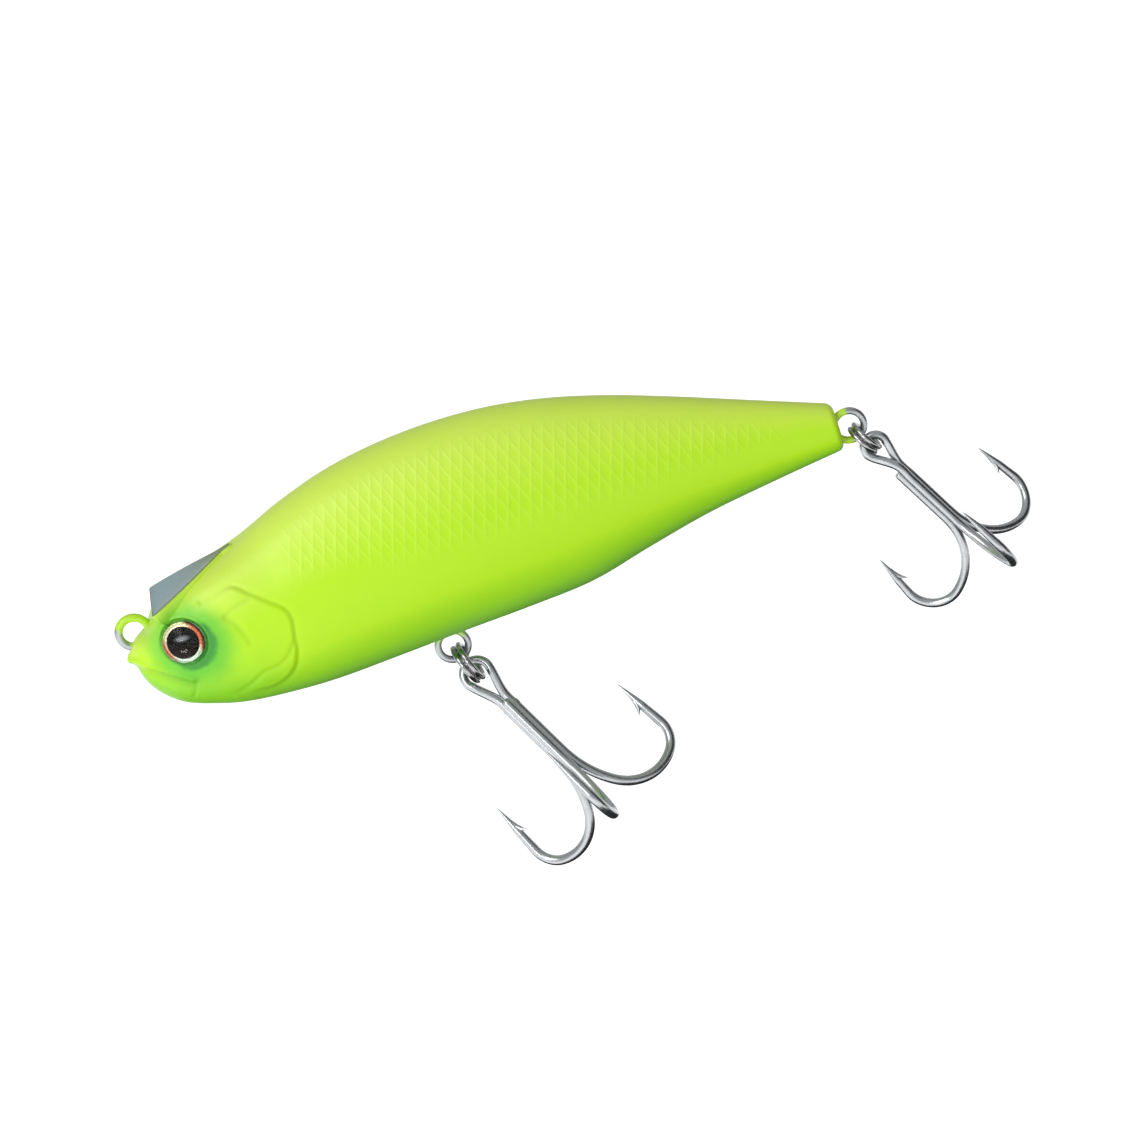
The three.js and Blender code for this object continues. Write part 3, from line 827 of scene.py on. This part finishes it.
def build_lip(material):
    """The plate as a stack of outlines, with a slight dish across its top.

    The two edge roundings run in the wrong order: the skin folds back at both edges, and its side wall
    stands LIP_EDGE_ROUND inside the outline.
    """
    half_line = lip_outline()
    front = np.linspace(-1, 1, 41)[1:-1][:, None] * (0, LIP["half"] - 0.4)
    outline = np.vstack([half_line[1:-1], (half_line * (1, -1))[:0:-1], front])
    tangent = np.roll(outline, -1, axis=0) - np.roll(outline, 1, axis=0)
    inward = unit(np.column_stack([tangent[:, 1], -tangent[:, 0]]))
    count = len(outline)
    centre_line = np.column_stack([outline[:, 0].clip(0.8, LIP["length"] - 0.2), np.zeros(count)])
    edge, thick = LIP_EDGE_ROUND, LIP["thickness"]
    angles = np.linspace(0, np.pi / 2, 5)
    rounding = [(edge * (1 - math.sin(angle)), edge * (1 - math.cos(angle))) for angle in angles]
    loops, rim, side = [], [], []

    def loop(inset, height, painted, on_side, share=0.0, dish=LIP_DISH):
        line = outline + inward * inset
        line = line + (centre_line - line) * share
        loops.append(np.column_stack([line, np.full(count, height - dish * share * (2 - share))]))
        rim.append(np.full(count, painted))
        side.append(np.full(count, on_side))

    for share in (1.0, 0.6, 0.3):
        loop(edge, 0.0, 0.0, 0.0, share, dish=0.0)
    for inset, height in reversed(rounding):
        loop(inset, height, 1.0, 1.0)
    for inset, height in rounding:
        loop(inset, thick - height, 1.0, float(height > edge * 0.5))
    for extra in (0.05, 0.1, 0.16):
        loop(edge + extra, thick, float(1 - smoothstep(extra, 0.05, 0.16)), 0.0)
    for share in (0.15, 0.3, 0.45, 0.6, 0.8, 1.0):
        loop(edge + 0.16, thick, 0.0, 0.0, share)
    # rim marks the painted rim; side picks its painted highlight (pale sides) over its painted shade (olive
    # top edge).
    values = {"rim": np.concatenate(rim), "side": np.concatenate(side)}
    add_piece("lip", on_lip(np.vstack(loops)), ring_faces(len(loops), count), "lure_body", material,
              "lip_metal", ["lip_plate"], values=values)


# The lip seat's section from its top to its foot: distance past the plate's edge, height above its underside.
SEAT_SECTION = [(-0.3, 0.3), (-0.1, 0.36), (0.08, 0.38), (0.15, 0.33), (0.17, 0.2), (0.16, 0.0),
                (0.1, -0.4), (0.0, -0.9), (-0.12, -1.5), (-0.3, -2.2), (-0.7, -3.0)]


def build_lip_seat(paint):
    """The moulded shoulder that carries the plate: flush with its sides, and running down into the head."""
    half_line = lip_outline()
    outline = np.vstack([half_line, (half_line * (1, -1))[::-1][1:]])
    tangent = np.gradient(outline, axis=0)
    outward = unit(np.column_stack([-tangent[:, 1], tangent[:, 0]]))
    beside = smoothstep(outline[:, 0], 0.1, 1.2)[:, None]
    to_front = 1 - smoothstep(outline[:, :1], 0.5, 4.0)
    loops = []
    for outset, height in SEAT_SECTION:
        reach = outset * beside if outset > 0 else outset
        reach = reach + min(0.0, height) * 0.3 * to_front
        line = outline + outward * reach
        across = np.where(line[:, 1] * outline[:, 1] < 0, 0, line[:, 1])
        along = line[:, 0].clip(0.05 - 0.4 * height)
        loops.append(np.column_stack([along, across, np.full(len(outline), height)]))
    middle = LIP["length"] / 2
    points, faces = capped(loops, (middle, 0, loops[0][0, 2]), (middle, 0, loops[-1][0, 2]), flipped=True)
    zero = np.zeros(len(points))
    add_piece("lip_seat", on_lip(points), faces, "lure_body", paint, "body_paint",
              values={"girth": zero + 0.8, "crease_shade": zero, "scales": zero})


# ---- wires

def wire_ring(x, z, radius, wire, around=120, sides=24):
    """Points and faces of a ring of wire standing in the XZ plane."""
    turn = 2 * np.pi * np.arange(around) / around
    section = 2 * np.pi * np.arange(sides) / sides
    reach = radius + wire * np.cos(section)
    points = np.stack([
        x + np.outer(np.cos(turn), reach),
        np.tile(wire * np.sin(section), (around, 1)),
        z + np.outer(np.sin(turn), reach),
    ], axis=-1).reshape(-1, 3)
    return points, ring_faces(around, sides, closed=True)


def build_eyelet(name, at, node, material, slot, coat=0.0):
    """A wire loop and the buried ring that anchors it. coat is the paint's thickness."""
    reach = LOOP["radius"] + ANCHOR["radius"] - 0.1
    x, _, z = np.array((at["x"], 0, at["z"])) + heading(at["anchor_angle"]) * reach
    points, faces = joined(
        wire_ring(at["x"], at["z"], LOOP["radius"], LOOP["wire"] + coat),
        wire_ring(x, z, ANCHOR["radius"], ANCHOR["wire"] + coat),
    )
    add_piece(name, points, faces, "lure_body", material, slot, [node])


def build_split_ring(name, ring, body, node, material):
    """Two flat coils joined by a short crossover on the far side."""
    down = heading(ring["angle"])
    normal = np.cross(down, (0, 1, 0))
    centre = np.array((ring["at"]["x"], 0, ring["at"]["z"])) + down * (ring["slack"] + ring["radius"])
    level = ring["wire"] * 1.07
    crossover = math.radians(50)
    start = math.pi / 2 + crossover / 2
    turn = np.linspace(0, 4 * math.pi - crossover, 300)
    climb = smoothstep(turn, 2 * math.pi - crossover, 2 * math.pi)
    path = (
        centre
        + ring["radius"] * np.outer(np.cos(start + turn), down)
        + ring["radius"] * np.outer(np.sin(start + turn), (0, 1, 0))
        + np.outer(level * (2 * climb - 1), normal)
    )
    points, faces = tube(path, ring["wire"], sides=24)
    add_piece(name, points, faces, body, material, "steel_wire", [node])


# ---- treble hooks

class Treble:
    """The centrelines and parts of one treble hook."""

    def __init__(self, hook):
        self.hook = hook
        lean = math.radians(hook["lean"])
        ring = hook["ring"]
        self.down = heading(hook["angle"]) * math.cos(lean) - np.array((0, 1, 0)) * math.sin(lean)
        self.side = heading(hook["angle"] + 90)
        self.back = unit(np.cross(self.side, self.down))
        foot = np.array((ring["at"]["x"], 0, ring["at"]["z"]))
        foot = foot + heading(ring["angle"]) * (ring["slack"] + 2 * ring["radius"])
        self.eye = foot - self.down * hook["eye_drop"]
        self.shank = (hook["wire"] + 0.03) * 1.155
        self.line, self.inward = self.point_line()

    def at(self, a, b, along):
        """A point from its distances to the side, to the back and down the shank from the eye."""
        return self.eye + self.side * a + self.back * b + self.down * along

    def spoke(self, azimuth, out, along):
        """A point at a distance from the shank's axis in the direction of one of the hook's points."""
        angle = math.radians(azimuth + self.hook["roll"])
        return self.at(out * math.cos(angle), out * math.sin(angle), along)

    def point_line(self):
        """The centreline of one point as (distance from the axis, distance below the eye)."""
        line = [(self.shank, self.hook["straight"])]
        angle = 0.0
        out, along = line[0]
        for radius, turn in self.hook["bends"]:
            steps = max(2, round(turn / 4))
            for _ in range(steps):
                following = angle + math.radians(turn) / steps
                out += radius * (math.cos(angle) - math.cos(following))
                along += radius * (math.sin(following) - math.sin(angle))
                angle = following
                line.append((out, along))
        return line, angle

    def beyond(self, length):
        """A point past the last bend, along the point's own direction."""
        out, along = self.line[-1]
        length += self.hook["leg"]
        return out + math.sin(self.inward) * length, along + math.cos(self.inward) * length

    def leg(self, azimuth):
        """From the straight shank to the needle tip."""
        bend = [self.spoke(azimuth, *p) for p in self.line]
        steps = np.linspace(-self.hook["leg"] * 0.6, self.hook["point"], 8)
        return bend + [self.spoke(azimuth, *self.beyond(step)) for step in steps]

    def taper(self, path, tips):
        """The wire's radius along a path, drawn out to a needle at each tip."""
        wire, point = self.hook["wire"], self.hook["point"]
        radii = np.full(len(path), wire)
        for tip in tips:
            gone = np.linalg.norm(path - tip, axis=1)
            bend = smoothstep(gone, point, point + 3) * (1 - smoothstep(gone, 12, 17))
            radii = np.maximum(radii, wire * (1 + BEND_SWELL * bend))
        for tip in tips:
            reach = np.linalg.norm(path - tip, axis=1) / point
            needle = wire * (0.05 + 0.95 * np.clip(reach, 0, 1) ** 0.8)
            radii = np.where(reach < 1, np.minimum(radii, needle), radii)
        return radii

    def barb(self, azimuth):
        """A flat sliver raised from the inner side of the point."""
        wire = self.hook["wire"]
        out, along = self.beyond(0.0)
        root = self.spoke(azimuth, *self.beyond(1.5))
        middle = self.spoke(azimuth, out - 0.95 * wire, along - 0.3)
        tip = self.spoke(azimuth, out - 2.3 * wire, along + 0.5)
        path = smooth_path([root, middle, tip], 0.08)
        radii = np.interp(np.linspace(0, 1, len(path)), [0, 0.55, 1], [0.7 * wire, 0.6 * wire, 0.05])
        return tube(path, radii, sides=12, flat=0.75)

    def pair(self):
        """The double: one wire bent round the eye, with a point at each end."""
        hook = self.hook
        first, second = hook["pair"]
        opening = math.radians(25)
        arc = [
            self.at(-hook["eye"] * math.cos(angle), 0, -hook["eye"] * math.sin(angle))
            for angle in np.linspace(-opening, math.pi + opening, 9)
        ]
        path = smooth_path([
            *self.leg(first)[::-1],
            self.spoke(first, self.shank, hook["neck"] + 2),
            self.spoke(first, self.shank, hook["neck"]),
            *arc,
            self.spoke(second, self.shank, hook["neck"]),
            self.spoke(second, self.shank, hook["neck"] + 2),
            *self.leg(second),
        ], WIRE_STEP)
        return joined(tube(path, self.taper(path, (path[0], path[-1]))), self.barb(first), self.barb(second))

    def single(self):
        """The single: its cut end lies beside the pair just below the eye."""
        hook, azimuth = self.hook, self.hook["single"]
        path = smooth_path([
            self.spoke(azimuth, self.shank, hook["neck"] + 0.7),
            self.spoke(azimuth, self.shank, hook["neck"] + 3),
            *self.leg(azimuth),
        ], WIRE_STEP)
        return joined(tube(path, self.taper(path, (path[-1],))), self.barb(azimuth))

    def braze(self, start, end, swell, seed):
        """A lumpy fillet of solder in the hollows between the three shanks."""
        hook = self.hook
        around, rows, lump_count = 72, 60, 14
        theta = 2 * np.pi * np.arange(around) / around
        wire, shank = hook["wire"], self.shank
        reach = np.zeros(around)
        for azimuth in (*hook["pair"], hook["single"]):
            off = theta - math.radians(azimuth + hook["roll"])
            inner = wire**2 - (shank * np.sin(off)) ** 2
            lobe = shank * np.cos(off) + np.sqrt(np.clip(inner, 0, None))
            reach = np.maximum(reach, np.where((inner > 0) & (np.cos(off) > 0), lobe, 0))
        filled = np.maximum(reach - 0.05, shank * 0.66)
        generator = np.random.default_rng(seed)
        limits = ((0, 2 * np.pi), (start, start + 3), (0.3, 0.8))
        lumps = [[generator.uniform(*limit) for limit in limits] for _ in range(lump_count)]
        loops = []
        for k in range(rows):
            along = start + (end - start) * (k / (rows - 1))
            ends = float(smoothstep(along, start - 0.01, start + 0.9) * smoothstep(end - along, -0.01, 0.9))
            full = math.exp(-(((along - start - 1.1) / 0.8) ** 2))
            radius = filled * (0.72 + 0.28 * ends) + full * swell
            for turn, height, size in lumps:
                gap = np.angle(np.exp(1j * (theta - turn))) * shank * 1.6
                radius = radius + 0.35 * swell * ends * np.exp(-(gap**2 + (along - height) ** 2) / size**2)
            loops.append([self.at(r * math.cos(t), r * math.sin(t), along) for r, t in zip(radius, theta)])
        return capped(loops, self.at(0, 0, start), self.at(0, 0, end), flipped=True)


def build_treble(prefix, hook, tin, solder, braze):
    """The three pieces of a treble. braze is its start, end, swell and seed."""
    treble = Treble(hook)
    for part, shape, material, nodes in (
        ("pair_wire", treble.pair(), tin, [f"{prefix}_double_hook"]),
        ("single_wire", treble.single(), tin, [f"{prefix}_single_hook"]),
        ("braze", treble.braze(*braze), solder, []),
    ):
        add_piece(f"{prefix}_{part}", *shape, f"{prefix}_treble", material, "tinned_hook", nodes)


# ---- eyes

# The least radius of a turned outline, in place of its axis.
AXIS = 0.01


def build_eyes(foil_material, pupil_material, dome_material):
    """On each side a rolled foil ring, a crowned pupil and a clear dome, with their centre on local Z."""
    outward, _, up = eye_axes()
    foil, pupil = FISH_EYE["foil"], FISH_EYE["pupil"]
    hole, radius, curve = pupil + 0.02, FISH_EYE["dome"], FISH_EYE["dome_curve"]
    quarter = np.linspace(0, np.pi / 2, 6)
    bead = [(foil - 0.1 * (1 - math.cos(a)), 0.3 + 0.1 * math.sin(a)) for a in quarter]
    dish = [(r, 0.4 - 0.09 * math.sin(math.pi * (r - hole) / (foil - 0.1 - hole)))
            for r in np.linspace(foil - 0.14, hole, 10)]
    ring = [(hole, 0.1), (foil, 0.1), *bead, *dish, (hole, 0.1)]
    crown = [(r, 0.42 - 0.12 * (r / pupil) ** 4) for r in np.linspace(pupil, AXIS, 14)]
    button = [(AXIS, 0.1), (pupil - 0.03, 0.1), (pupil, 0.14), *crown]
    sweep = math.asin(radius / curve)
    top = 0.55 + curve * (1 - math.cos(sweep))
    angles = np.linspace(sweep, 0, 28)
    cap = [(max(AXIS, curve * math.sin(a)), top - curve * (1 - math.cos(a))) for a in angles]
    lens = [(AXIS, 0.45), (radius - 0.06, 0.45), (radius, 0.49), *cap]
    for name, mirror in (("left", 1), ("right", -1)):
        axis = outward * (1, mirror, 1)
        above = up * (1, mirror, 1)
        across = np.cross(above, axis)
        centre = place((FISH_EYE["x"], FISH_EYE["y"] * mirror, FISH_EYE["z"]))
        frame = placement(across, above, axis, centre)
        for part, outline, material, node in (
            ("foil_ring", ring, foil_material, "eye_foil"),
            ("pupil_disc", button, pupil_material, "eye_pupil"),
            ("clear_dome", lens, dome_material, "eye_dome"),
        ):
            add_piece(f"{name}_{part}", *turned(outline), "lure_body", material, node,
                      [f"{name}_{node}"], frame=frame)


# ---- studio

def plain_material(name, light, dark, **sockets):
    """A nearly even grey for the floor and the cards, between two shades."""
    m = Material(name, **sockets)
    shades = (light, light, light, 1), (dark, dark, dark, 1)
    m.set("Base Color", m.mix(m.noise(m.position(), 0.01, 2.0), *shades))
    return m.material


def aimed(name, data, location, direction, axis):
    """An object at location, with one of its axes turned to direction."""
    made = bpy.data.objects.new(name, data)
    bpy.context.scene.collection.objects.link(made)
    made.location = location
    made.rotation_mode = "QUATERNION"
    made.rotation_quaternion = Vector(direction).to_track_quat(axis, "Y")
    return made


def add_plane(name, size, location, facing, material):
    """A flat card that isn't part of the object."""
    mesh = bpy.data.meshes.new(name)
    w, h = size[0] / 2, size[1] / 2
    mesh.from_pydata([(-w, -h, 0), (w, -h, 0), (w, h, 0), (-w, h, 0)], [], [(0, 1, 2, 3)])
    mesh.materials.append(material)
    card = aimed(name, mesh, location, facing, "Z")
    return card


def add_light(name, location, target, size, watts):
    data = bpy.data.lights.new(name, "AREA")
    data.shape = "RECTANGLE"
    data.size, data.size_y = size
    data.energy = watts
    aimed(name, data, location, Vector(target) - Vector(location), "-Z")


def build_studio():
    """A pale floor lit a little from below, two soft lights, and dark cards that the camera doesn't see."""
    world = bpy.data.worlds.new("studio")
    bpy.context.scene.world = world
    world.use_nodes = True
    background = world.node_tree.nodes["Background"]
    background.inputs[0].default_value = (1, 1, 1, 1)
    background.inputs[1].default_value = 0.5
    bpy.context.scene.view_settings.view_transform = "Standard"
    middle = place((47, 0, -6))
    glow = {"emission_color": (1, 1, 1, 1), "emission_strength": 0.75}
    pale = plain_material("floor", 0.8, 0.78, roughness=0.8, **glow)
    add_plane("floor", (40, 40), (middle[0], 0, -0.19), (0, 0, 1), pale)
    dark = plain_material("dark_card", 0.02, 0.0196, roughness=0.9)
    for name, size, offset in (
        ("right_card", (0.45, 0.6), (0.42, -0.1, 0.05)),
        ("under_card", (0.29, 0.22), (0.01, 0.01, -0.12)),
    ):
        location = middle + np.array(offset)
        card = add_plane(name, size, location, middle - location, dark)
        card.visible_camera = False
    add_light("key", middle + (-0.5, -0.55, 0.75), middle, (0.6, 0.5), 3.7)
    add_light("fill", middle + (-0.47, -0.76, 0.24), middle, (0.4, 0.14), 1.8)


def build_camera():
    """The camera of the main view."""
    tilt, roll = math.radians(VIEW_TILT), math.radians(VIEW_ROLL)
    away = np.array((0, math.cos(tilt), -math.sin(tilt)))
    above = np.array((0, math.sin(tilt), math.cos(tilt)))
    along = np.array((1, 0, 0))
    right = along * math.cos(roll) - above * math.sin(roll)
    up = along * math.sin(roll) + above * math.cos(roll)
    location = place(VIEW_TARGET) - away * VIEW_DISTANCE
    data = bpy.data.cameras.new("camera")
    data.sensor_width = 36
    data.lens = data.sensor_width * VIEW_DISTANCE / VIEW_WIDTH
    camera = bpy.data.objects.new("camera", data)
    bpy.context.scene.collection.objects.link(camera)
    camera.matrix_world = placement(right, up, -away, location)
    bpy.context.scene.camera = camera


# ---- the whole lure


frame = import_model()
build_camera()
build_studio()

paint = body_paint()
build_body(paint)
build_lip_seat(paint)
build_lip(lip_metal())
tie_paint = painted_wire("tie_wire", (-0.9, 0, -0.44), 0.9, 1.25)
build_eyelet("line_tie", TIE, "line_tie_eyelet", tie_paint, "painted_wire", coat=0.06)
hanger = place((BELLY["x"], 0, BELLY["z"])) / MM
hanger_paint = painted_wire("belly_hanger_wire", (0, 0, -1), -hanger[2] - 1.6, -hanger[2] - 0.4)
build_eyelet("belly_hanger", BELLY, "belly_hanger_eyelet", hanger_paint, "steel_wire")
tail = place((TAIL["x"], 0, TAIL["z"])) / MM
tail_paint = painted_wire("tail_hanger_wire", (1, 0, 0), tail[0] - 0.2, tail[0] + 0.5)
build_eyelet("tail_hanger", TAIL, "tail_hanger_eyelet", tail_paint, "painted_wire")
build_eyes(eye_foil(), eye_pupil(), eye_dome())

ring_steel = steel("polished_ring_steel", linear(176, 177, 178), 0.16, 5.0, 0.1)
build_split_ring("belly_ring_coils", BELLY_RING, "belly_ring", "belly_split_ring", ring_steel)
build_split_ring("tail_ring_coils", TAIL_RING, "tail_ring", "tail_split_ring", ring_steel)

hook_tin = steel("tinned_wire", linear(196, 199, 202), 0.27, 2.2, 0.12)
solder = steel("rough_solder", linear(176, 179, 182), 0.38, 2.2, 0.6)
build_treble("belly", BELLY_TREBLE, hook_tin, solder, (4.1, 11.6, 0.1, 3))
build_treble("tail", TAIL_TREBLE, hook_tin, solder, (4.3, 10.4, 0.08, 8))

ball_steel = steel("ball_steel", linear(190, 193, 197), 0.18, 3.0, 0.08)
for node, material in (
    ("belly_ballast_weight", cast_metal()),
    ("transfer_weight_front", ball_steel),
    ("transfer_weight_rear", ball_steel),
):
    materials = frame["nodes"][node].data.materials
    materials.clear()
    materials.append(material)
